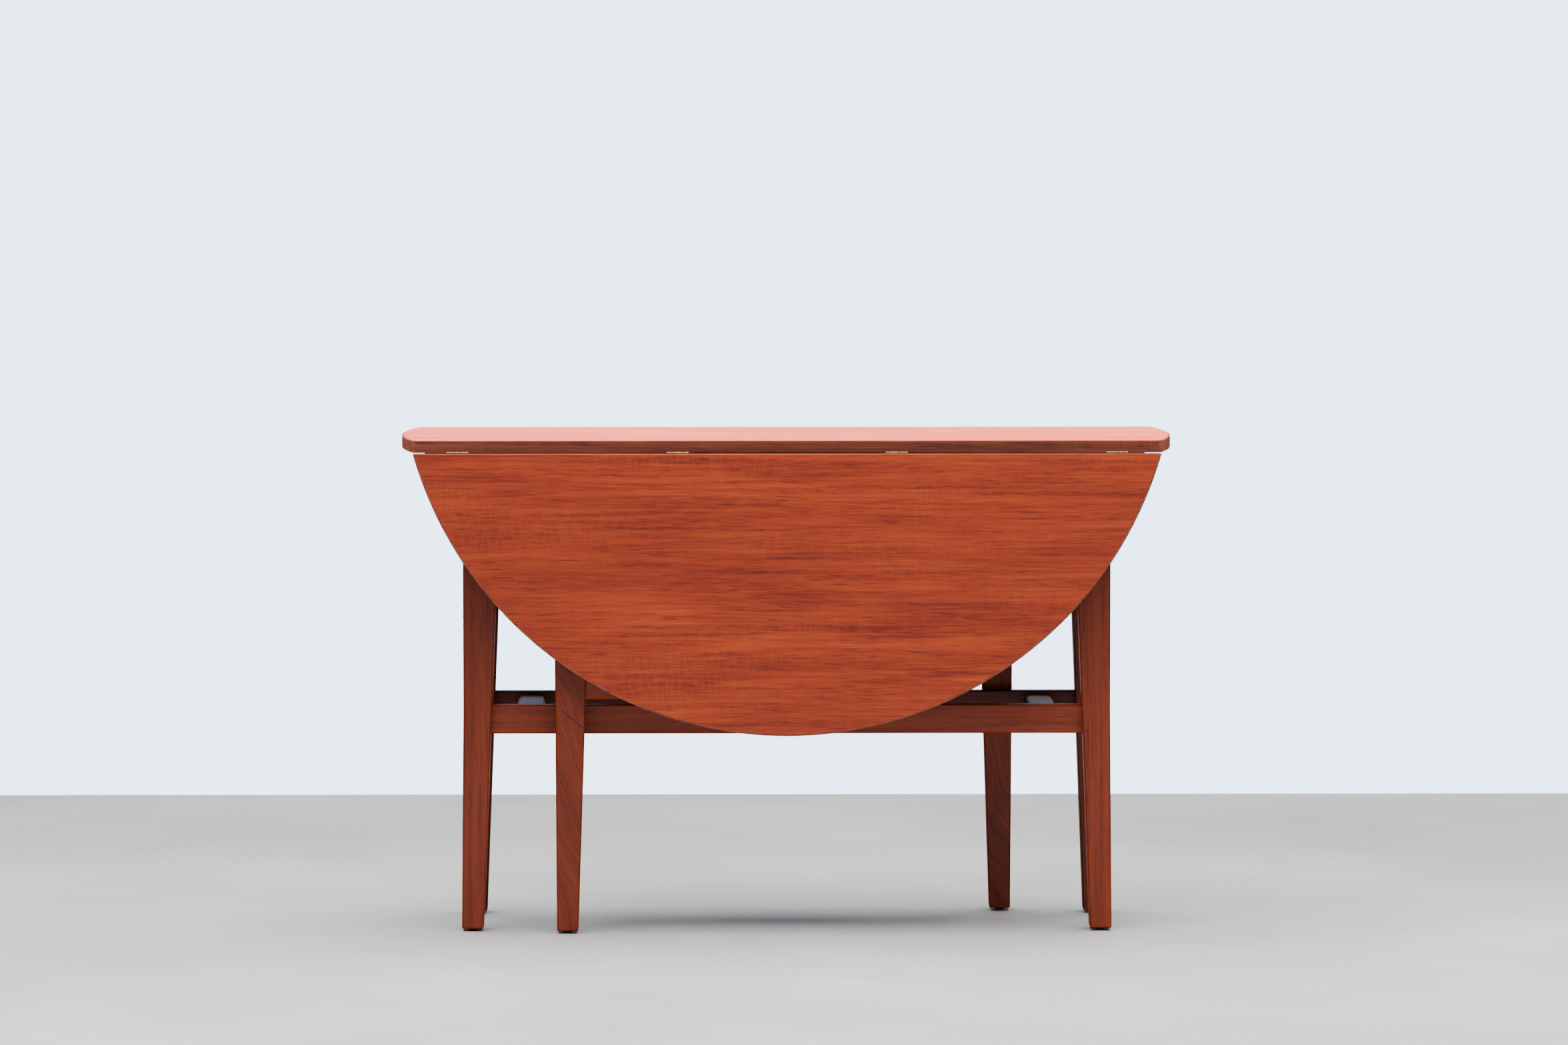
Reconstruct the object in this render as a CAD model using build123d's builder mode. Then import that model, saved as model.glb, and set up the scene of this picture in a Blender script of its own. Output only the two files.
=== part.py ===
from build123d import *
import os

# Round gateleg drop leaf table, leaves hanging. Millimetres, +Z up, +X along the long
# centre panel, origin on the floor under its middle. The front is -Y. The table maps onto
# itself under a half turn about Z, so every piece of a side is drawn once in a plane that
# faces outwards from that side.

os.makedirs("parts", exist_ok=True)

# Top
TOP_RADIUS = 575.0
TOP_THICK = 18.0
TOP_Z = 735.0
UNDER_Z = TOP_Z - TOP_THICK
PANEL_HALF = 155.0
LIPPING = 3.0
LIP_ARRIS = 1.0
ARRIS = 0.8

# Leaf hinge line
PIVOT_Y = 155.5
PIVOT_Z = 716.7
LEAF_EDGE = 0.5
HINGE_X = (-488.0, -162.0, 162.0, 488.0)
HINGE_LENGTH = 32.5
KNUCKLES = 5
KNUCKLE_GAP = 0.3
BARREL_R = 2.0
PIN_R = 1.0
PIN_BORE_R = 1.05
WING_THICK = 1.5
WING_REACH = 26.0
WING_START = 2.3
NOTCH = 2.6
NOTCH_DEEP = 2.3
SCREW_SPREAD = 10.0
SCREW_REACH = 15.5
SCREW_HEAD_R = 2.6
SCREW_R = 1.4
SCREW_LENGTH = 12.0
SCREW_HEAD = 1.2

# The leaf hangs outside the hinge line, so that it lies level with the panel when raised
LEAF_INNER = PIVOT_Y + UNDER_Z - PIVOT_Z
LEAF_TOP = PIVOT_Z - LEAF_EDGE
LEAF_CENTRE_Z = PIVOT_Z + PIVOT_Y

# Fixed legs
FOOT_Z = 4.0
LEG_IN_Y = 82.0
LEG_OUT_Y = 125.0
LEG_OUT_X = 481.0
LEG_FOOT_OUT_X = 484.0
LEG_FOOT_IN_X = 452.0
LEG_HEAD_IN_X = 427.0
LEG_HEAD_Z = 640.0
LEG_FLARE_Z = 330.0
LEG_ROUND = 2.0

# Stretchers and aprons, in line with the middle of the legs
RAIL_Y = 103.5
RAIL_THICK = 20.0
STRETCHER_LOW = 295.0
STRETCHER_HIGH = 338.0
APRON_LOW = 650.0
TENON_THICK = 10.0
TENON_LONG = 20.0
TENON_INSET = 6.0
FIT = 0.1
END_APRON_X = 456.0
CROSS_X = 383.0
CROSS_WIDE = 44.0
CROSS_LOW = 312.0
CROSS_HIGH = 332.0
CROSS_TENON = 12.0

# Gates
GATE_PIVOT_X = -30.0
GATE_IN_Y = 114.0
GATE_OUT_Y = 153.0
GATE_TOP = 716.0
GATE_OUT_X = -344.4
GATE_FOOT_OUT_X = -342.0
GATE_FOOT_IN_X = -310.5
GATE_IN_X = -297.4
GATE_TAPER_Z = 400.0
GATE_RAIL_IN_Y = 128.0
GATE_RAIL_THICK = 22.0
GATE_LOWER = (350.0, 390.0)
GATE_UPPER = (600.0, 640.0)
POST_WIDE = 36.0
POST_IN_Y = 92.0
POST_OUT_Y = 150.0
WASHER = 1.0
GATE_PIN_R = 4.0
GATE_PIN_DEEP = 22.0

# Small pieces
BLOCK = 20.0
BLOCK_LONG = 60.0
BLOCK_X = (-240.0, 0.0, 240.0)
STOP_X = 20.5
STOP_WIDE = 12.0
STOP_THICK = 8.0
STOP_REACH = (210.0, 270.0)
GLIDE_R = 8.0
GLIDE_PIN_R = 1.5
GLIDE_PIN_LONG = 14.0

SIDES = ((-1, "front"), (1, "rear"))
HANDS = ((-1, "left"), (1, "right"))
UP = (Align.CENTER, Align.CENTER, Align.MIN)


def save(piece, label):
    """Name a finished piece and write its STEP file."""
    piece.part.label = label
    export_step(piece.part, f"parts/{label}.step")


def facing(side, distance):
    """A plane that faces outwards from a side: across, up, and out from the middle."""
    return Plane(origin=(0, side * distance, 0), x_dir=(-side, 0, 0), z_dir=(0, side, 0))


def leg_inner(z):
    """How far the inner edge of a fixed leg is from the middle at a height."""
    t = min((z - FOOT_Z) / (LEG_HEAD_Z - FOOT_Z), 1.0)
    return LEG_FOOT_IN_X + t * (LEG_HEAD_IN_X - LEG_FOOT_IN_X)


def gate_inner(z):
    """Where the inner edge of a gate's leg is at a height."""
    t = min((z - FOOT_Z) / (GATE_TAPER_Z - FOOT_Z), 1.0)
    return GATE_FOOT_IN_X + t * (GATE_IN_X - GATE_FOOT_IN_X)


def long_edges(piece, low, high):
    """The edges that run up a leg, but not the ones across its ends."""
    return piece.edges().filter_by(lambda e: e.length > 30 and low < e.center().Z < high)


def box_between(low, high, mode=Mode.ADD):
    """A box given by two opposite corners."""
    size = [b - a for a, b in zip(low, high)]
    middle = tuple((a + b) / 2 for a, b in zip(low, high))
    with Locations(middle):
        Box(*size, mode=mode)


def screws_at(spots, head_r=SCREW_HEAD_R, shank_r=SCREW_R, head=SCREW_HEAD, length=SCREW_LENGTH):
    """Countersunk, slotted screws whose heads lie on the workplane."""
    with Locations(*spots):
        Cone(head_r, shank_r, head, align=UP)
        Cylinder(shank_r, length, align=UP)
    with Locations(*spots):
        Box(2 * head_r, 0.6, 0.5, align=UP, mode=Mode.SUBTRACT)


def screw_holes(spots, head_r=SCREW_HEAD_R, shank_r=SCREW_R, head=SCREW_HEAD, through=3.0):
    """Countersunk holes for the same screws, through a plate on the workplane."""
    with Locations(*spots):
        Cone(head_r + FIT, shank_r + FIT, head, align=UP, mode=Mode.SUBTRACT)
        Cylinder(shank_r + FIT, through, align=UP, mode=Mode.SUBTRACT)


def hinge_spots(x, y):
    """The two screws of each hinge wing."""
    return [(x + d, y, 0) for d in (-SCREW_SPREAD, SCREW_SPREAD)]


def knuckle_spans(x, first):
    """The spans along the pin of every second knuckle of a hinge."""
    pitch = HINGE_LENGTH / KNUCKLES
    starts = [x - HINGE_LENGTH / 2 + pitch * i for i in range(first, KNUCKLES, 2)]
    return [(s + KNUCKLE_GAP / 2, s + pitch - KNUCKLE_GAP / 2) for s in starts]


# Centre panel ---------------------------------------------------------------------------

with BuildPart() as top_panel:
    with BuildSketch(Plane.XY.offset(UNDER_Z)):
        Circle(TOP_RADIUS - LIPPING)
        Rectangle(2 * TOP_RADIUS, 2 * PANEL_HALF, mode=Mode.INTERSECT)
    extrude(amount=TOP_THICK)
    top_long = top_panel.edges().filter_by(Axis.X).group_by(Axis.Z)[-1]
    fillet(top_long, ARRIS)
    for side in (-1, 1):
        for x in HINGE_X:
            half = HINGE_LENGTH / 2 + 0.5
            near = side * (PIVOT_Y - NOTCH)
            far = side * (PANEL_HALF + 5)
            low = (x - half, min(near, far), UNDER_Z - 1)
            high = (x + half, max(near, far), PIVOT_Z + NOTCH_DEEP)
            box_between(low, high, mode=Mode.SUBTRACT)
            with Locations(*[(a, side * (PIVOT_Y - SCREW_REACH), UNDER_Z) for a, _, _ in hinge_spots(x, 0)]):
                Cylinder(SCREW_R + FIT, SCREW_LENGTH, align=UP, mode=Mode.SUBTRACT)
        for x in BLOCK_X:
            with Locations((x, side * (RAIL_Y - (RAIL_THICK + BLOCK) / 2), UNDER_Z)):
                Cylinder(2.1, 10.0, align=UP, mode=Mode.SUBTRACT)
save(top_panel, "top_panel")

with BuildPart() as top_lipping:
    with BuildSketch(Plane.XZ) as lip_section:
        with Locations((TOP_RADIUS - LIPPING / 2, TOP_Z - TOP_THICK / 2)):
            Rectangle(LIPPING, TOP_THICK)
        chamfer(lip_section.vertices().group_by(Axis.X)[-1], LIP_ARRIS)
    revolve(axis=Axis.Z)
    with Locations((0, 0, TOP_Z)):
        Box(3 * TOP_RADIUS, 2 * PANEL_HALF, 100, mode=Mode.INTERSECT)
save(top_lipping, "top_lipping")

# Leaves, their stops and their hinges ---------------------------------------------------

for side, name in SIDES:
    leaf_face = facing(side, LEAF_INNER)
    leaf_low = LEAF_CENTRE_Z - TOP_RADIUS
    screw_z = PIVOT_Z - SCREW_REACH
    stop_low = PIVOT_Z - STOP_REACH[1]
    stop_high = PIVOT_Z - STOP_REACH[0]
    stop_mid = STOP_X + STOP_WIDE / 2
    stop_screws = [(stop_mid, z, 0) for z in (stop_low + 14, stop_high - 14)]

    with BuildPart(leaf_face) as leaf:
        with BuildSketch(leaf_face):
            with Locations((0, LEAF_CENTRE_Z)):
                Circle(TOP_RADIUS - LIPPING)
            with Locations((0, LEAF_TOP)):
                Rectangle(2 * TOP_RADIUS, 600, align=(Align.CENTER, Align.MAX), mode=Mode.INTERSECT)
        extrude(amount=TOP_THICK)
        upper = leaf.edges().filter_by(Axis.X).sort_by(Axis.Y)
        fillet(upper[0] if side < 0 else upper[-1], ARRIS)
        for x in HINGE_X:
            half = HINGE_LENGTH / 2 + 0.5
            low = (x - half, PIVOT_Z - NOTCH, -1)
            high = (x + half, LEAF_TOP + 5, PIVOT_Y + NOTCH_DEEP - LEAF_INNER)
            box_between(low, high, mode=Mode.SUBTRACT)
            with Locations(*hinge_spots(x, screw_z)):
                Cylinder(SCREW_R + FIT, SCREW_LENGTH, align=UP, mode=Mode.SUBTRACT)
        with Locations(*stop_screws):
            Cylinder(2.1, 10.0, align=UP, mode=Mode.SUBTRACT)
    save(leaf, f"leaf_{name}")

    with BuildPart() as leaf_lipping:
        with BuildSketch(Plane.XY.offset(LEAF_CENTRE_Z)) as lip_section:
            with Locations((TOP_RADIUS - LIPPING / 2, side * (LEAF_INNER + TOP_THICK / 2))):
                Rectangle(LIPPING, TOP_THICK)
            chamfer(lip_section.vertices().group_by(Axis.X)[-1], LIP_ARRIS)
        revolve(axis=Axis((0, 0, LEAF_CENTRE_Z), (0, 1, 0)))
        with Locations((0, side * LEAF_INNER, LEAF_TOP)):
            keep = (Align.CENTER, Align.CENTER, Align.MAX)
            Box(3 * TOP_RADIUS, 100, 600, align=keep, mode=Mode.INTERSECT)
    save(leaf_lipping, f"leaf_lipping_{name}")

    with BuildPart(facing(side, LEAF_INNER - STOP_THICK)) as leaf_stop:
        box_between((STOP_X, stop_low, 0), (STOP_X + STOP_WIDE, stop_high, STOP_THICK))
        inner_face = leaf_stop.faces().sort_by(Axis.Y)[-1 if side < 0 else 0]
        chamfer(inner_face.edges(), 1.5)
        screw_holes(stop_screws, head_r=3.6, shank_r=2.0, head=2.0, through=STOP_THICK)
    save(leaf_stop, f"leaf_stop_{name}")

    with BuildPart(facing(side, LEAF_INNER - STOP_THICK)) as leaf_stop_screws:
        screws_at(stop_screws, head_r=3.6, shank_r=2.0, head=2.0, length=STOP_THICK + 8.0)
    save(leaf_stop_screws, f"leaf_stop_screws_{name}")

    # Wings of the hinges under the panel, with the first, third and fifth knuckles
    with BuildPart(facing(side, 0)) as fixed_wings:
        for x in HINGE_X:
            half = HINGE_LENGTH / 2
            low = (x - half, UNDER_Z - WING_THICK, PIVOT_Y - WING_REACH)
            high = (x + half, UNDER_Z, PIVOT_Y - WING_START)
            box_between(low, high)
            for start, end in knuckle_spans(x, 0):
                low = (start, UNDER_Z - WING_THICK, PIVOT_Y - WING_START)
                box_between(low, (end, UNDER_Z, PIVOT_Y))
                with Locations(((start + end) / 2, PIVOT_Z, PIVOT_Y)):
                    Cylinder(BARREL_R, end - start, rotation=(0, 90, 0))
        for x in HINGE_X:
            with Locations((x, PIVOT_Z, PIVOT_Y)):
                Cylinder(PIN_BORE_R, 40, rotation=(0, 90, 0), mode=Mode.SUBTRACT)
            for d in (-SCREW_SPREAD, SCREW_SPREAD):
                with Locations(Location((x + d, UNDER_Z - WING_THICK, PIVOT_Y - SCREW_REACH), (-90, 0, 0))):
                    Cone(SCREW_HEAD_R + FIT, SCREW_R + FIT, SCREW_HEAD, align=UP, mode=Mode.SUBTRACT)
                    Cylinder(SCREW_R + FIT, 3.0, align=UP, mode=Mode.SUBTRACT)
    save(fixed_wings, f"hinge_wings_panel_{name}")

    # Wings of the hinges on the leaf, with the second and fourth knuckles
    with BuildPart(facing(side, 0)) as leaf_wings:
        plate_in = LEAF_INNER - WING_THICK
        for x in HINGE_X:
            half = HINGE_LENGTH / 2
            low = (x - half, PIVOT_Z - WING_REACH, plate_in)
            high = (x + half, PIVOT_Z - WING_START, LEAF_INNER)
            box_between(low, high)
            for start, end in knuckle_spans(x, 1):
                low = (start, PIVOT_Z - WING_START, plate_in)
                box_between(low, (end, PIVOT_Z, LEAF_INNER))
                with Locations(((start + end) / 2, PIVOT_Z, PIVOT_Y)):
                    Cylinder(BARREL_R, end - start, rotation=(0, 90, 0))
        for x in HINGE_X:
            with Locations((x, PIVOT_Z, PIVOT_Y)):
                Cylinder(PIN_BORE_R, 40, rotation=(0, 90, 0), mode=Mode.SUBTRACT)
            with Locations(*[(a, b, plate_in) for a, b, _ in hinge_spots(x, screw_z)]):
                Cone(SCREW_HEAD_R + FIT, SCREW_R + FIT, SCREW_HEAD, align=UP, mode=Mode.SUBTRACT)
                Cylinder(SCREW_R + FIT, 3.0, align=UP, mode=Mode.SUBTRACT)
    save(leaf_wings, f"hinge_wings_leaf_{name}")

    with BuildPart(facing(side, 0)) as hinge_pins:
        with Locations(*[(x, PIVOT_Z, PIVOT_Y) for x in HINGE_X]):
            Cylinder(PIN_R, HINGE_LENGTH, rotation=(0, 90, 0))
    save(hinge_pins, f"hinge_pins_{name}")

    with BuildPart(Plane.XY.offset(UNDER_Z - WING_THICK)) as panel_screws:
        for x in HINGE_X:
            screws_at(hinge_spots(x, side * (PIVOT_Y - SCREW_REACH)))
    save(panel_screws, f"hinge_screws_panel_{name}")

    with BuildPart(facing(side, LEAF_INNER - WING_THICK)) as leaf_screws:
        for x in HINGE_X:
            screws_at(hinge_spots(x, screw_z))
    save(leaf_screws, f"hinge_screws_leaf_{name}")

# Fixed legs -----------------------------------------------------------------------------

for side, name in SIDES:
    for hand, hand_name in HANDS:
        # Across runs the other way on the rear side
        turn = -side * hand
        outline = [
            (LEG_OUT_X, UNDER_Z),
            (LEG_OUT_X, LEG_FLARE_Z),
            (LEG_FOOT_OUT_X, FOOT_Z),
            (LEG_FOOT_IN_X, FOOT_Z),
            (LEG_HEAD_IN_X, LEG_HEAD_Z),
            (LEG_HEAD_IN_X, UNDER_Z),
        ]
        foot_x = turn * (LEG_FOOT_OUT_X + LEG_FOOT_IN_X) / 2
        with BuildPart(facing(side, LEG_IN_Y)) as leg:
            with BuildSketch(facing(side, LEG_IN_Y)):
                Polygon(*[(turn * x, z) for x, z in outline], align=None)
            extrude(amount=LEG_OUT_Y - LEG_IN_Y)
            fillet(long_edges(leg, FOOT_Z + 20, UNDER_Z - 2), LEG_ROUND)
            chamfer(leg.faces().sort_by(Axis.Z)[0].edges(), 1.5)
            depth = RAIL_Y - LEG_IN_Y
            half = TENON_THICK / 2 + FIT
            for low_z, high_z in ((STRETCHER_LOW, STRETCHER_HIGH), (APRON_LOW, UNDER_Z)):
                reach = leg_inner((low_z + high_z) / 2) + TENON_LONG + FIT
                x0 = turn * (leg_inner(low_z) - 20)
                x1 = turn * reach
                low = (min(x0, x1), low_z + TENON_INSET - FIT, depth - half)
                high = (max(x0, x1), high_z - TENON_INSET + FIT, depth + half)
                box_between(low, high, mode=Mode.SUBTRACT)
            end_x = turn * END_APRON_X
            low = (end_x - half, APRON_LOW + TENON_INSET - FIT, -1)
            high = (end_x + half, UNDER_Z - TENON_INSET + FIT, 14 + FIT)
            box_between(low, high, mode=Mode.SUBTRACT)
            with Locations(Location((foot_x, FOOT_Z, depth), (-90, 0, 0))):
                Cylinder(GLIDE_PIN_R + FIT, GLIDE_PIN_LONG, align=UP, mode=Mode.SUBTRACT)
        save(leg, f"leg_{name}_{hand_name}")

# Stretchers, aprons and cross rails -----------------------------------------------------

for side, name in SIDES:
    for part_name, low_z, high_z in (
        ("stretcher", STRETCHER_LOW, STRETCHER_HIGH),
        ("apron", APRON_LOW, UNDER_Z),
    ):
        with BuildPart(facing(side, RAIL_Y - RAIL_THICK / 2)) as rail:
            with BuildSketch(facing(side, RAIL_Y - RAIL_THICK / 2)):
                ends = [(leg_inner(low_z), low_z), (leg_inner(high_z), high_z)]
                mirrored = [(-x, z) for x, z in reversed(ends)]
                Polygon(*ends, *mirrored, align=None)
            extrude(amount=RAIL_THICK)
            long = rail.edges().filter_by(Axis.X)
            fillet(long if part_name == "stretcher" else long.group_by(Axis.Z)[0], 2.0)
            reach = leg_inner((low_z + high_z) / 2) + TENON_LONG
            mid = RAIL_THICK / 2
            low = (-reach, low_z + TENON_INSET, mid - TENON_THICK / 2)
            high = (reach, high_z - TENON_INSET, mid + TENON_THICK / 2)
            box_between(low, high)
            if part_name == "stretcher":
                pin_z = high_z - GATE_PIN_DEEP
                for x in (-CROSS_X, CROSS_X):
                    half = CROSS_WIDE / 2 - 5 + FIT
                    low = (x - half, CROSS_LOW + 4 - FIT, -1)
                    high = (x + half, CROSS_HIGH - 4 + FIT, CROSS_TENON + FIT)
                    box_between(low, high, mode=Mode.SUBTRACT)
            else:
                pin_z = low_z - 1
            with Locations(Location((GATE_PIVOT_X, pin_z, mid), (-90, 0, 0))):
                Cylinder(GATE_PIN_R + 0.05, GATE_PIN_DEEP + 1, align=UP, mode=Mode.SUBTRACT)
        save(rail, f"{part_name}_{name}")

for hand, hand_name in HANDS:
    with BuildPart() as cross_rail:
        reach = RAIL_Y - RAIL_THICK / 2
        x = hand * CROSS_X
        low = (x - CROSS_WIDE / 2, -reach, CROSS_LOW)
        box_between(low, (x + CROSS_WIDE / 2, reach, CROSS_HIGH))
        fillet(cross_rail.edges().filter_by(Axis.Y).group_by(Axis.Z)[-1], 9.0)
        half = CROSS_WIDE / 2 - 5
        reach += CROSS_TENON
        box_between((x - half, -reach, CROSS_LOW + 4), (x + half, reach, CROSS_HIGH - 4))
    save(cross_rail, f"cross_rail_{hand_name}")

    with BuildPart() as end_apron:
        x = hand * END_APRON_X
        half = RAIL_THICK / 2
        box_between((x - half, -LEG_IN_Y, APRON_LOW), (x + half, LEG_IN_Y, UNDER_Z))
        fillet(end_apron.edges().filter_by(Axis.Y).group_by(Axis.Z)[0], 2.0)
        half = TENON_THICK / 2
        reach = LEG_IN_Y + 14
        low = (x - half, -reach, APRON_LOW + TENON_INSET)
        box_between(low, (x + half, reach, UNDER_Z - TENON_INSET))
    save(end_apron, f"apron_{hand_name}")

block_y = RAIL_Y - (RAIL_THICK + BLOCK) / 2
block_spots = [(x, side * block_y) for x in BLOCK_X for side in (-1, 1)]
with BuildPart(Plane.XY.offset(UNDER_Z - BLOCK)) as glue_blocks:
    with Locations(*block_spots):
        Box(BLOCK_LONG, BLOCK, BLOCK, align=UP)
    chamfer(glue_blocks.faces().group_by(Axis.Z)[0].edges().filter_by(Axis.X), 2.0)
    screw_holes(block_spots, head_r=4.0, shank_r=2.0, head=2.2, through=BLOCK)
save(glue_blocks, "glue_blocks")

with BuildPart(Plane.XY.offset(UNDER_Z - BLOCK)) as top_screws:
    screws_at(block_spots, head_r=4.0, shank_r=2.0, head=2.2, length=BLOCK + 9.0)
save(top_screws, "top_screws")

# Gates ----------------------------------------------------------------------------------

for side, name in SIDES:
    outline = [
        (GATE_OUT_X, GATE_TOP),
        (GATE_OUT_X, GATE_TAPER_Z),
        (GATE_FOOT_OUT_X, FOOT_Z),
        (GATE_FOOT_IN_X, FOOT_Z),
        (GATE_IN_X, GATE_TAPER_Z),
        (GATE_IN_X, GATE_TOP),
    ]
    foot_x = (GATE_FOOT_OUT_X + GATE_FOOT_IN_X) / 2
    gate_mid = (GATE_IN_Y + GATE_OUT_Y) / 2
    rail_mid = GATE_RAIL_IN_Y + GATE_RAIL_THICK / 2
    post_left = GATE_PIVOT_X - POST_WIDE / 2
    post_right = GATE_PIVOT_X + POST_WIDE / 2
    post_low = STRETCHER_HIGH + WASHER
    post_high = APRON_LOW - WASHER
    tenon_half = TENON_THICK / 2

    with BuildPart(facing(side, GATE_IN_Y)) as gate_leg:
        with BuildSketch(facing(side, GATE_IN_Y)):
            Polygon(*outline, align=None)
        extrude(amount=GATE_OUT_Y - GATE_IN_Y)
        fillet(long_edges(gate_leg, FOOT_Z + 20, GATE_TOP - 2), LEG_ROUND)
        chamfer(gate_leg.faces().sort_by(Axis.Z)[0].edges(), 1.5)
        depth = rail_mid - GATE_IN_Y
        for low_z, high_z in (GATE_LOWER, GATE_UPPER):
            low = (GATE_IN_X - TENON_LONG - FIT, low_z + TENON_INSET - FIT, depth - tenon_half - FIT)
            high = (GATE_IN_X + 10, high_z - TENON_INSET + FIT, depth + tenon_half + FIT)
            box_between(low, high, mode=Mode.SUBTRACT)
        with Locations(Location((foot_x, FOOT_Z, gate_mid - GATE_IN_Y), (-90, 0, 0))):
            Cylinder(GLIDE_PIN_R + FIT, GLIDE_PIN_LONG, align=UP, mode=Mode.SUBTRACT)
    save(gate_leg, f"gate_leg_{name}")

    with BuildPart(facing(side, POST_IN_Y)) as gate_post:
        box_between((post_left, post_low, 0), (post_right, post_high, POST_OUT_Y - POST_IN_Y))
        fillet(gate_post.edges().filter_by(Axis.Z), 3.0)
        depth = rail_mid - POST_IN_Y
        for low_z, high_z in (GATE_LOWER, GATE_UPPER):
            low = (post_left - 1, low_z + TENON_INSET - FIT, depth - tenon_half - FIT)
            high = (post_left + 14 + FIT, high_z - TENON_INSET + FIT, depth + tenon_half + FIT)
            box_between(low, high, mode=Mode.SUBTRACT)
        for pin_z in (post_low - 1, post_high - GATE_PIN_DEEP):
            with Locations(Location((GATE_PIVOT_X, pin_z, RAIL_Y - POST_IN_Y), (-90, 0, 0))):
                Cylinder(GATE_PIN_R + 0.05, GATE_PIN_DEEP + 1, align=UP, mode=Mode.SUBTRACT)
    save(gate_post, f"gate_post_{name}")

    for rail_name, (low_z, high_z) in (("lower", GATE_LOWER), ("upper", GATE_UPPER)):
        with BuildPart(facing(side, GATE_RAIL_IN_Y)) as gate_rail:
            with BuildSketch(facing(side, GATE_RAIL_IN_Y)):
                corners = [
                    (gate_inner(low_z), low_z),
                    (post_left, low_z),
                    (post_left, high_z),
                    (gate_inner(high_z), high_z),
                ]
                Polygon(*corners, align=None)
            extrude(amount=GATE_RAIL_THICK)
            fillet(gate_rail.edges().filter_by(Axis.X), 2.0)
            mid = GATE_RAIL_THICK / 2
            low = (GATE_IN_X - TENON_LONG, low_z + TENON_INSET, mid - tenon_half)
            high = (post_left + 14, high_z - TENON_INSET, mid + tenon_half)
            box_between(low, high)
        save(gate_rail, f"gate_rail_{rail_name}_{name}")

    pivot = (GATE_PIVOT_X * -side, side * RAIL_Y)
    with BuildPart() as pivot_pins:
        for joint_z in (STRETCHER_HIGH, APRON_LOW):
            with Locations((*pivot, joint_z)):
                Cylinder(GATE_PIN_R, 2 * GATE_PIN_DEEP - 4)
    save(pivot_pins, f"pivot_pins_{name}")

    with BuildPart() as pivot_washers:
        for low_z in (STRETCHER_HIGH, post_high):
            with Locations((*pivot, low_z)):
                Cylinder(9.0, WASHER, align=UP)
                Cylinder(GATE_PIN_R + 0.2, WASHER, align=UP, mode=Mode.SUBTRACT)
    save(pivot_washers, f"pivot_washers_{name}")

# Glides ---------------------------------------------------------------------------------

fixed_x = (LEG_FOOT_OUT_X + LEG_FOOT_IN_X) / 2
gate_x = (GATE_FOOT_OUT_X + GATE_FOOT_IN_X) / 2
gate_y = (GATE_IN_Y + GATE_OUT_Y) / 2
glide_groups = {
    "glides_legs": [(a * fixed_x, b * RAIL_Y) for a in (-1, 1) for b in (-1, 1)],
    "glides_gates": [(gate_x, -gate_y), (-gate_x, gate_y)],
}
for label, spots in glide_groups.items():
    with BuildPart() as glides:
        with Locations(*spots):
            Cylinder(GLIDE_R, FOOT_Z, align=UP)
        fillet(glides.edges().group_by(Axis.Z)[0], 2.5)
        with Locations(*spots):
            Cylinder(GLIDE_PIN_R, FOOT_Z + GLIDE_PIN_LONG - 1, align=UP)
    save(glides, label)
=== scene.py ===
import math

import bmesh
import bpy
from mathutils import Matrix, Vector


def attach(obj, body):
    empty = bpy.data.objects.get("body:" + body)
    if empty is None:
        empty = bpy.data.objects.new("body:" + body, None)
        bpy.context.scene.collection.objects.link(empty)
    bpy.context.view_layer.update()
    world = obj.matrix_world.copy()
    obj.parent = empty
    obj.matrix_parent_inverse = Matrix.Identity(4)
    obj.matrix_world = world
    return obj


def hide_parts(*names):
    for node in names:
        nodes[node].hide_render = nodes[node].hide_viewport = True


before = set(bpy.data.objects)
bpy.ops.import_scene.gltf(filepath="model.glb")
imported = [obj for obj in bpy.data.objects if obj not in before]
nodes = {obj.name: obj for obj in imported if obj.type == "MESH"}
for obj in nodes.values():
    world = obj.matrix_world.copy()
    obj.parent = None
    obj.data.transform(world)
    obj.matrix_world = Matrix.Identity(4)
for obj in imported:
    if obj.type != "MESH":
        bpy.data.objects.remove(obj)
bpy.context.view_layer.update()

# Sizes in metres, as in the CAD model
TOP_R = 0.575
TOP_THICK = 0.018
TOP_Z = 0.735
PANEL_HALF = 0.155
LIP = 0.003

# Leaf hinge line, then the hanging leaf's inner face, top edge and the middle of its circle
PIVOT_Y = 0.1555
PIVOT_Z = 0.7167
LEAF_EDGE = 0.0005
LEAF_INNER = PIVOT_Y + TOP_Z - TOP_THICK - PIVOT_Z
LEAF_TOP = PIVOT_Z - LEAF_EDGE
LEAF_CENTRE_Z = PIVOT_Z + PIVOT_Y

# Radius of the lippings' rounded edges
LIP_ROUND = 0.0011

# The crack in the front gate's leg: a point on it, its fall and how far it strays. The pairs
# are where its dark core fades: in half its width, and along X at its left and right ends
CRACK_X = -0.333
CRACK_Z = 0.332
CRACK_SLOPE = -0.80
CRACK_STRAY = 0.008
CRACK_HALF_WIDTH = (0.0016, 0.0004)
CRACK_LEFT = (-0.3385, -0.3340)
CRACK_RIGHT = (-0.2990, -0.3060)

# Floor, from well in front of the camera to the foot of the wall
FLOOR_SIDE = 9.0
FLOOR_FRONT = -14.0
FLOOR_BACK = 1.69

# Light: an open sky all round, a bright wall behind the table, and a large lamp overhead. The
# wall takes over from the sky as the Y part of a direction goes from WALL_STARTS to WALL_FULL
SKY_LIGHT = 0.32
WALL_LIGHT = 5.4
SKY_TINT = (1.0, 0.94, 0.90)
WALL_TINT = (0.58, 0.76, 1.0)
WALL_STARTS = 0.92
WALL_FULL = 0.97
LAMP_HEIGHT = 5.0
LAMP_SIZE = 6.0
LAMP_POWER = 2080.0
LAMP_TINT = (1.0, 0.97, 0.95)

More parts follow.
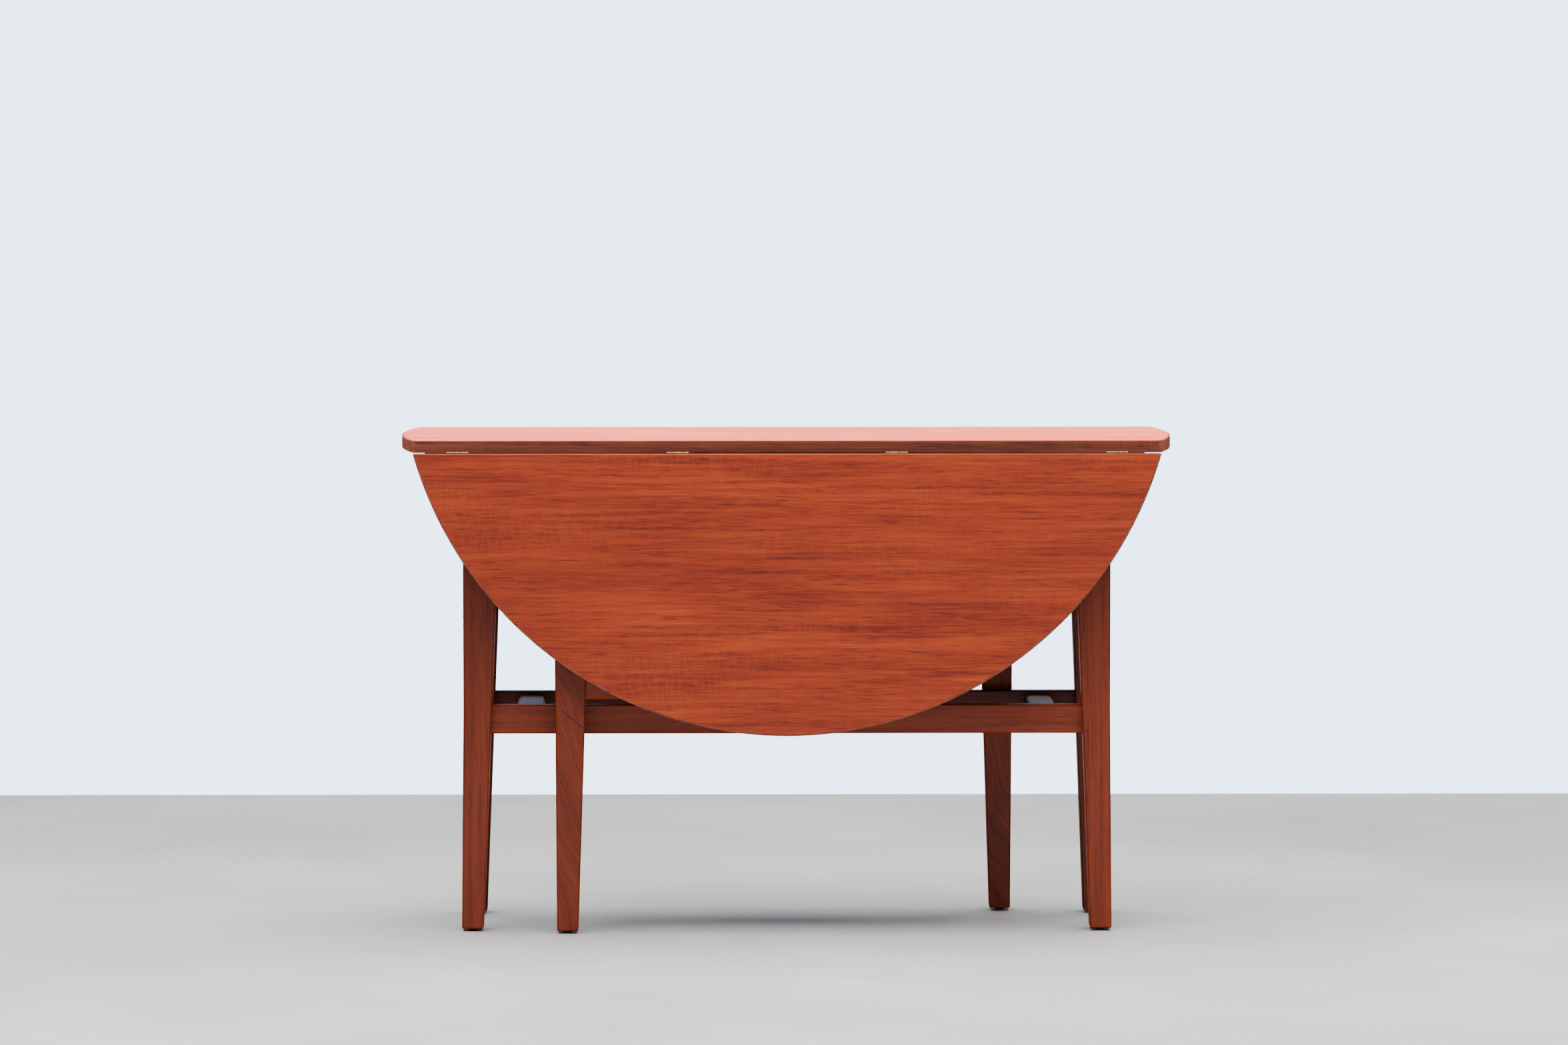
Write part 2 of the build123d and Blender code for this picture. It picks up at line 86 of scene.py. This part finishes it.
CAMERA_AT = (-0.134, -11.873, 1.535)
CAMERA_TOWARDS = (0.0110, 0.99686, -0.0784)
CAMERA_LENS = 182.3

X, Y, Z = 0, 1, 2


# Shader helpers -------------------------------------------------------------------------

class Shader:
    """A material's node tree, with one call per node."""

    def __init__(self, name):
        self.mat = bpy.data.materials.new(name)
        self.mat.use_nodes = True
        self.tree = self.mat.node_tree
        self.tree.nodes.clear()
        self.out = self.tree.nodes.new("ShaderNodeOutputMaterial")

    def put(self, socket, value):
        if isinstance(value, bpy.types.NodeSocket):
            self.tree.links.new(value, socket)
        else:
            socket.default_value = value

    def coords(self):
        return self.tree.nodes.new("ShaderNodeTexCoord").outputs["Object"]

    def split(self, vector):
        node = self.tree.nodes.new("ShaderNodeSeparateXYZ")
        self.put(node.inputs[0], vector)
        return node.outputs

    def join(self, x, y, z):
        node = self.tree.nodes.new("ShaderNodeCombineXYZ")
        for socket, value in zip(node.inputs, (x, y, z)):
            self.put(socket, value)
        return node.outputs[0]

    def stretch(self, values, factors):
        """A vector of three values, each times its own factor."""
        return self.join(*[self.math("MULTIPLY", v, f) for v, f in zip(values, factors)])

    def math(self, kind, a, b=0.0, c=0.0, clamp=False):
        node = self.tree.nodes.new("ShaderNodeMath")
        node.operation = kind
        node.use_clamp = clamp
        for socket, value in zip(node.inputs, (a, b, c)):
            self.put(socket, value)
        return node.outputs[0]

    def noise(self, vector, detail=2.0, rough=0.5, scale=1.0):
        node = self.tree.nodes.new("ShaderNodeTexNoise")
        self.put(node.inputs["Vector"], vector)
        self.put(node.inputs["Scale"], scale)
        self.put(node.inputs["Detail"], detail)
        self.put(node.inputs["Roughness"], rough)
        return node.outputs[0]

    def span(self, value, a, b, low=0.0, high=1.0, smooth=True):
        node = self.tree.nodes.new("ShaderNodeMapRange")
        node.interpolation_type = "SMOOTHSTEP" if smooth else "LINEAR"
        for socket, v in zip(node.inputs, (value, a, b, low, high)):
            self.put(socket, v)
        return node.outputs[0]

    def ramp(self, value, stops):
        node = self.tree.nodes.new("ShaderNodeValToRGB")
        elements = node.color_ramp.elements
        while len(elements) < len(stops):
            elements.new(0.5)
        for element, (at, colour) in zip(elements, stops):
            element.position = at
            element.color = (*colour, 1.0)
        self.put(node.inputs[0], value)
        return node.outputs[0]

    def mix(self, factor, a, b, blend="MIX"):
        node = self.tree.nodes.new("ShaderNodeMix")
        node.data_type = "RGBA"
        node.blend_type = blend
        self.put(node.inputs[0], factor)
        self.put(node.inputs[6], a)
        self.put(node.inputs[7], b)
        return node.outputs[2]

    def bump(self, height, strength, distance):
        node = self.tree.nodes.new("ShaderNodeBump")
        self.put(node.inputs["Strength"], strength)
        self.put(node.inputs["Distance"], distance)
        self.put(node.inputs["Height"], height)
        return node.outputs[0]

    def finish(self, colour, rough, normal, metal=0.0, specular=0.5):
        node = self.tree.nodes.new("ShaderNodeBsdfPrincipled")
        self.put(node.inputs["Base Color"], colour)
        self.put(node.inputs["Roughness"], rough)
        self.put(node.inputs["Metallic"], metal)
        self.put(node.inputs["Specular IOR Level"], specular)
        self.put(node.inputs["Normal"], normal)
        self.tree.links.new(node.outputs[0], self.out.inputs[0])
        return self.mat


def rgb(r, g, b):
    """An sRGB colour of 0 to 255 as linear light."""
    values = (r / 255, g / 255, b / 255)
    return tuple(c / 12.92 if c <= 0.04045 else ((c + 0.055) / 1.055) ** 2.4 for c in values)


# Wood -----------------------------------------------------------------------------------

# Tones from dark to light
VENEER = (rgb(90, 30, 27), rgb(140, 48, 32), rgb(174, 66, 34), rgb(196, 82, 38))
SOLID = (rgb(66, 21, 11), rgb(104, 36, 17), rgb(130, 49, 23), rgb(150, 64, 30))
EDGE = (rgb(58, 30, 24), rgb(84, 43, 35), rgb(100, 54, 44), rgb(118, 68, 56))
LIPS = (rgb(86, 42, 32), rgb(118, 62, 50), rgb(142, 82, 68), rgb(160, 98, 82))
PINE = (rgb(150, 110, 66), rgb(182, 140, 90), rgb(200, 160, 108), rgb(214, 178, 128))


def wood(name, along, tones, seed, band=105.0, line=430.0, pores=0.60, fleck=0.15, rough=0.46,
         figure=0.0, crack=False, worn=0.0, bold=1.0, light=1.0, specular=0.30, sway=0.006):
    """Wood whose grain runs along an axis, in a piece's own coordinates.

    band and line are how many growth bands and fine lines there are to a metre, figure is how
    much the grain leans, and pores, fleck and worn are how strongly each of those shows.
    """
    s = Shader(name)
    tones = [tuple(c * light for c in tone) for tone in tones]
    lightest = (*tones[3], 1.0)
    axes = s.split(s.coords())
    others = [axes[i] for i in (X, Y, Z) if i != along]
    run = s.math("ADD", axes[along], 0.37 * seed)
    a = s.math("ADD", others[0], 1.31 * seed)
    b = s.math("ADD", others[1], 0.73 * seed)
    if figure:
        # Diagonal figure: the grain leans and swirls across the piece
        swirl = s.noise(s.stretch((run, a, b), (5.0, 14.0, 1.0)), 1.0)
        lean = s.math("MULTIPLY", run, figure)
        a = s.math("ADD", s.math("ADD", a, lean), s.math("MULTIPLY", swirl, 0.05))
    warp = s.noise(s.stretch((run, a, b), (2.4, 9.0, 9.0)), 2.0)
    shift = s.math("MULTIPLY", s.math("SUBTRACT", warp, 0.5), sway)
    a = s.math("ADD", a, shift)
    b = s.math("ADD", b, shift)

    def layer(per_run, per_across, detail=2.0, roughness=0.5):
        return s.noise(s.stretch((run, a, b), (per_run, per_across, per_across)), detail, roughness)

    # Growth bands of four widths, from a few centimetres down to about a millimetre
    broad = layer(2.2, band * 0.30, 2.0, 0.55)
    bands = layer(4.2, band * 1.15, 3.0, 0.62)
    lines = layer(9.0, line, 3.0, 0.62)
    streaks = layer(38.0, line * 2.2, 2.0, 0.6)
    tone = s.math("MULTIPLY_ADD", bands, 0.26, s.math("MULTIPLY", lines, 0.28))
    tone = s.math("MULTIPLY_ADD", streaks, 0.22, tone)
    tone = s.math("MULTIPLY_ADD", broad, 0.26, tone)
    tone = s.math("MULTIPLY_ADD", s.math("SUBTRACT", tone, 0.5), 2.5 * bold, 0.5, clamp=True)
    colour = s.ramp(tone, [(0.06, tones[0]), (0.36, tones[1]), (0.64, tones[2]), (0.94, tones[3])])
    patch = layer(1.6, 5.0, 1.0)
    colour = s.mix(s.span(patch, 0.35, 0.75, 0.0, 0.30), colour, (*tones[1], 1.0))

    # Open pores: short dark dashes that cluster along the darker lines
    dash = layer(30.0, line * 3.0, 1.0, 0.4)
    dark = s.math("MULTIPLY", s.span(dash, 0.54, 0.68), s.span(bands, 0.64, 0.40))
    colour = s.mix(s.math("MULTIPLY", dark, pores), colour, (*[c * 0.42 for c in tones[0]], 1.0))

    # Cross fleck: a faint ribbon of lighter marks across the grain
    ribs = layer(330.0, 60.0, 1.0)
    where = s.span(layer(3.0, 12.0, 1.0), 0.42, 0.66)
    marks = s.math("MULTIPLY", s.math("MULTIPLY", s.span(ribs, 0.42, 0.60), where), fleck)
    colour = s.mix(marks, colour, lightest)
    if worn:
        rubbed = s.span(layer(24.0, 60.0), 0.35, 0.75)
        colour = s.mix(s.math("MULTIPLY", rubbed, worn), colour, lightest)
    height = s.math("MULTIPLY_ADD", lines, 0.5, s.math("MULTIPLY", dark, -1.0))
    if crack:
        # A zigzag shake with a dark core that falls from left to right
        jag = s.noise(s.join(s.math("MULTIPLY", axes[X], 330.0), 4.0, 2.0), 2.0, 0.7)
        course = s.math("MULTIPLY_ADD", axes[X], CRACK_SLOPE, CRACK_Z - CRACK_SLOPE * CRACK_X)
        gap = s.math("SUBTRACT", axes[Z], course)
        gap = s.math("ADD", gap, s.math("MULTIPLY", s.math("SUBTRACT", jag, 0.5), CRACK_STRAY))
        core = s.span(s.math("ABSOLUTE", gap), *CRACK_HALF_WIDTH)
        core = s.math("MULTIPLY", core, s.span(axes[X], *CRACK_LEFT))
        core = s.math("MULTIPLY", core, s.span(axes[X], *CRACK_RIGHT, 0.25, 1.0))
        colour = s.mix(s.math("MULTIPLY", core, 0.85), colour, (*rgb(26, 12, 8), 1.0))
        height = s.math("SUBTRACT", height, s.math("MULTIPLY", core, 3.0))
    shine = s.math("MULTIPLY_ADD", lines, 0.16, rough - 0.08)
    shine = s.math("MULTIPLY_ADD", dark, 0.15, shine)
    return s.finish(colour, shine, s.bump(height, 0.22, 0.0001), specular=specular)


def brass():
    """Brass that has dulled unevenly, with fine draw marks."""
    s = Shader("brass_aged")
    axes = s.split(s.coords())
    spots = s.noise(s.coords(), 4.0, 0.6, 160.0)
    marks = s.noise(s.stretch(axes, (120.0, 2400.0, 2400.0)), 2.0)
    colour = s.ramp(spots, [(0.30, rgb(70, 50, 28)), (0.50, rgb(118, 94, 58)), (0.75, rgb(152, 128, 86))])
    rough = s.math("MULTIPLY_ADD", spots, 0.3, 0.20)
    return s.finish(colour, rough, s.bump(marks, 0.25, 0.00005), metal=1.0)


def steel():
    """Dull steel with turned marks and a little rust bloom."""
    s = Shader("steel_dull")
    spots = s.noise(s.coords(), 5.0, 0.65, 210.0)
    marks = s.noise(s.coords(), 2.0, 0.5, 1400.0)
    colour = s.ramp(spots, [(0.35, rgb(84, 66, 54)), (0.55, rgb(132, 126, 118)), (0.8, rgb(168, 164, 158))])
    return s.finish(colour, s.span(spots, 0.3, 0.7, 0.55, 0.32), s.bump(marks, 0.2, 0.00005), metal=0.9)


# How light each board is painted: painted shade darkens boards that sit in shadow, painted light brightens
# lit ones. Boards that aren't named here are like the rest of the frame
REST_SHADE = 0.78
BOARD_PAINTED_SHADE = {
    "stretcher_front": 0.98,
    "stretcher_rear": 0.32,
    "gate_leg_front": 0.72,
    "gate_rail_lower_front": 1.05,
    "leg_front_left": 0.82,
    "leg_front_right": 0.85,
    "leg_rear_left": 0.50,
    "leg_rear_right": 0.55,
    "cross_rail_left": 0.42,
    "cross_rail_right": 0.42,
}

BRASS = brass()
STEEL = steel()

# A face is flat where its normal is this close to an axis
FLAT = 0.999


def paint(obj, main, edge=None, side=None, flat_axis=None):
    """One material for flat faces, one for rounded edges, one for flat faces off flat_axis."""
    mesh = obj.data
    mesh.materials.clear()
    for mat in (main, edge or main, side or main):
        mesh.materials.append(mat)
    for face in mesh.polygons:
        n = face.normal
        index = 0 if max(abs(n.x), abs(n.y), abs(n.z)) > FLAT else 1
        if flat_axis is not None and index == 0 and abs(n[flat_axis]) < 0.7:
            index = 2
        face.material_index = index


def grain_of(name):
    """The axis along which a board's grain runs."""
    if name.startswith(("leg", "gate_leg", "gate_post")):
        return Z
    if name.startswith(("cross_rail", "apron_left", "apron_right")):
        return Y
    return X


def paint_pine(name, obj, seed):
    """Stops and glue blocks, in plain pine."""
    axis = Z if name.startswith("leaf_stop") else X
    look = dict(band=120.0, line=500.0, pores=0.1, fleck=0.0, rough=0.6)
    paint(obj, wood(f"pine_{name}", axis, PINE, seed, **look))


def paint_veneered(name, obj, seed):
    """The centre panel and the leaves: veneered faces, solid edges and rubbed arrises."""
    is_panel = name == "top_panel"
    # Painted light and shade: the top-lit panel's face and edges are painted lighter, the hanging leaves'
    # darker
    if is_panel:
        painted_light_and_gloss = dict(light=1.40, specular=0.06, rough=0.55)
    else:
        painted_light_and_gloss = dict(light=0.73, specular=0.22)
    face = wood(f"veneer_{name}", X, VENEER, seed, line=310.0, **painted_light_and_gloss)
    painted_edge_light = 1.22 if is_panel else 0.60
    side = wood(f"edge_{name}", X, EDGE, seed + 0.5, band=140.0, light=painted_edge_light, specular=0.04)
    worn = wood(f"arris_{name}", X, VENEER, seed + 0.5, band=140.0, worn=0.4, rough=0.6, specular=0.0)
    paint(obj, face, worn, side, Z if is_panel else Y)


def paint_frame(name, obj, seed):
    """Legs, gates, aprons, stretchers and cross rails, in solid teak."""
    axis = grain_of(name)
    # The board's painted light or shade scales all its tones
    painted_shade = BOARD_PAINTED_SHADE.get(name, REST_SHADE)
    look = dict(band=120.0, line=520.0, pores=0.6, fleck=0.08, bold=0.8, light=painted_shade)
    dull = dict(rough=0.6, crack=False)
    if name.startswith("gate_leg"):
        look.update(figure=0.35, crack=name == "gate_leg_front")
    if name.startswith("cross_rail"):
        paint(obj, wood(f"teak_{name}", axis, SOLID, seed, **(look | dull), specular=0.08))
        return
    face = wood(f"teak_{name}", axis, SOLID, seed, **look)
    side = wood(f"side_{name}", axis, SOLID, seed, **(look | dull), specular=0.03)
    arris = wood(f"arris_{name}", axis, SOLID, seed, **(look | dull), worn=0.2, specular=0.0)
    paint(obj, face, arris, side, Y)


STEEL_NODES = ("hinge_pins", "pivot", "glides", "leaf_stop_screws", "top_screws")
for seed, (name, obj) in enumerate(sorted(nodes.items()), start=1):
    if name.startswith(("hinge_wings", "hinge_screws")):
        paint(obj, BRASS)
    elif name.startswith(STEEL_NODES):
        paint(obj, STEEL)
    elif name.startswith(("leaf_stop", "glue_blocks")):
        paint_pine(name, obj, seed)
    elif name in ("top_panel", "leaf_front", "leaf_rear"):
        paint_veneered(name, obj, seed)
    elif "lipping" not in name:
        paint_frame(name, obj, seed)


# Rounded lippings in place of the chamfered CAD ones --------------------------------------

# Radians: the step of a strip's sweep, and how far past its ends it runs before it is cut
SWEEP_STEP = math.radians(0.75)
OVERRUN = 0.01


def lip_section():
    """Out from the inner radius and across the thickness, with two rounded corners."""
    points = [(TOP_R - LIP, 0.0)]
    for corner, start in ((LIP_ROUND, -90), (TOP_THICK - LIP_ROUND, 0)):
        for i in range(7):
            t = math.radians(start + 15 * i)
            points.append((TOP_R - LIP_ROUND + LIP_ROUND * math.cos(t), corner + LIP_ROUND * math.sin(t)))
    points.append((TOP_R - LIP, TOP_THICK))
    return points


def lipping(name, place, half_angle, middles, cuts, body):
    """Strips round the circle, cut off flush by planes, as one mesh."""
    bm = bmesh.new()
    section = lip_section()
    for middle in middles:
        steps = max(8, round(half_angle / SWEEP_STEP))
        rings = []
        for i in range(steps + 1):
            t = middle + half_angle * (2 * i / steps - 1)
            rings.append([bm.verts.new(place(r * math.cos(t), r * math.sin(t), d)) for r, d in section])
        for one, two in zip(rings, rings[1:]):
            for i in range(len(section)):
                j = (i + 1) % len(section)
                bm.faces.new((one[i], one[j], two[j], two[i]))
        bm.faces.new(rings[0])
        bm.faces.new(rings[-1])
    for point, normal in cuts:
        everything = bm.verts[:] + bm.edges[:] + bm.faces[:]
        cut = bmesh.ops.bisect_plane(bm, geom=everything, plane_co=point, plane_no=normal, clear_outer=True)
        rim = [e for e in cut["geom_cut"] if isinstance(e, bmesh.types.BMEdge)]
        bmesh.ops.holes_fill(bm, edges=rim, sides=0)
    bmesh.ops.recalc_face_normals(bm, faces=bm.faces[:])
    mesh = bpy.data.meshes.new(name)
    bm.to_mesh(mesh)
    bm.free()
    obj = bpy.data.objects.new(f"{name}_rounded", mesh)
    bpy.context.scene.collection.objects.link(obj)
    for face in mesh.polygons:
        face.use_smooth = True
    sharpen = obj.modifiers.new("weighted", "WEIGHTED_NORMAL")
    sharpen.keep_sharp = True
    mesh.set_sharp_from_angle(angle=math.radians(40))
    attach(obj, body)
    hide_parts(name)
    look = dict(band=110.0, rough=0.5, specular=0.0, light=0.85)
    mesh.materials.append(wood(f"lip_{name}", X, LIPS, 3.3 + len(name), **look))


top_half = math.asin(PANEL_HALF / TOP_R)
lipping(
    "top_lipping",
    lambda u, v, d: Vector((u, v, TOP_Z - TOP_THICK + d)),
    top_half + OVERRUN,
    (0.0, math.pi),
    [((0, s * PANEL_HALF, 0), (0, s, 0)) for s in (-1, 1)],
    "frame",
)
leaf_half = math.acos((LEAF_CENTRE_Z - LEAF_TOP) / TOP_R)
for side, name in ((-1, "front"), (1, "rear")):
    lipping(
        f"leaf_lipping_{name}",
        lambda u, v, d, side=side: Vector((u, side * (LEAF_INNER + d), LEAF_CENTRE_Z + v)),
        leaf_half + OVERRUN,
        (-math.pi / 2,),
        [((0, 0, LEAF_TOP), (0, 0, 1))],
        f"leaf_{name}_body",
    )


# Floor, light and camera ------------------------------------------------------------------

floor_mesh = bpy.data.meshes.new("floor")
corners = [
    (-FLOOR_SIDE, FLOOR_FRONT, 0),
    (FLOOR_SIDE, FLOOR_FRONT, 0),
    (FLOOR_SIDE, FLOOR_BACK, 0),
    (-FLOOR_SIDE, FLOOR_BACK, 0),
]
floor_mesh.from_pydata(corners, [], [(0, 1, 2, 3)])
floor = bpy.data.objects.new("floor", floor_mesh)
bpy.context.scene.collection.objects.link(floor)
concrete = Shader("concrete")
grit = concrete.noise(concrete.coords(), 6.0, 0.7, 90.0)
stain = concrete.noise(concrete.coords(), 4.0, 0.6, 1.3)
tone = concrete.math("MULTIPLY_ADD", grit, 0.35, concrete.math("MULTIPLY", stain, 0.65))
greys = [(0.30, rgb(102, 101, 100)), (0.55, rgb(119, 118, 118)), (0.75, rgb(132, 132, 133))]
grey = concrete.ramp(tone, greys)
# Painted light: the concrete is painted paler towards the front
painted_light_towards_front = concrete.span(concrete.split(concrete.coords())[Y], 1.0, -1.3, 1.0, 1.6, smooth=False)
grey = concrete.mix(1.0, grey, concrete.join(painted_light_towards_front, painted_light_towards_front, painted_light_towards_front), "MULTIPLY")
floor_mesh.materials.append(concrete.finish(grey, 0.75, concrete.bump(grit, 0.3, 0.001), specular=0.25))

world = bpy.data.worlds.new("sky")
bpy.context.scene.world = world
world.use_nodes = True
sky = world.node_tree
towards = sky.nodes.new("ShaderNodeTexCoord")
axes = sky.nodes.new("ShaderNodeSeparateXYZ")
sky.links.new(towards.outputs["Generated"], axes.inputs[0])
glow = sky.nodes.new("ShaderNodeMapRange")
glow.interpolation_type = "SMOOTHSTEP"
for socket, value in zip(list(glow.inputs)[1:5], (WALL_STARTS, WALL_FULL, 0.0, 1.0)):
    socket.default_value = value
sky.links.new(axes.outputs[1], glow.inputs[0])
light = sky.nodes.new("ShaderNodeMix")
light.data_type = "RGBA"
sky.links.new(glow.outputs[0], light.inputs[0])
light.inputs[6].default_value = (*[SKY_LIGHT * c for c in SKY_TINT], 1.0)
light.inputs[7].default_value = (*[WALL_LIGHT * c for c in WALL_TINT], 1.0)
sky.links.new(light.outputs[2], sky.nodes["Background"].inputs[0])

lamp = bpy.data.objects.new("open_sky", bpy.data.lights.new("open_sky", "AREA"))
lamp.data.size = LAMP_SIZE
lamp.data.energy = LAMP_POWER
lamp.data.color = LAMP_TINT
lamp.location = (0.0, 0.0, LAMP_HEIGHT)
lamp.rotation_mode = "QUATERNION"
lamp.rotation_quaternion = Vector((0, 0, -LAMP_HEIGHT)).to_track_quat("-Z", "Y")
bpy.context.scene.collection.objects.link(lamp)

camera = bpy.data.objects.new("camera", bpy.data.cameras.new("camera"))
bpy.context.scene.collection.objects.link(camera)
camera.data.sensor_width = 36.0
camera.data.lens = CAMERA_LENS
camera.data.clip_end = 60.0
camera.location = CAMERA_AT
camera.rotation_mode = "QUATERNION"
camera.rotation_quaternion = Vector(CAMERA_TOWARDS).to_track_quat("-Z", "Y")
bpy.context.scene.camera = camera
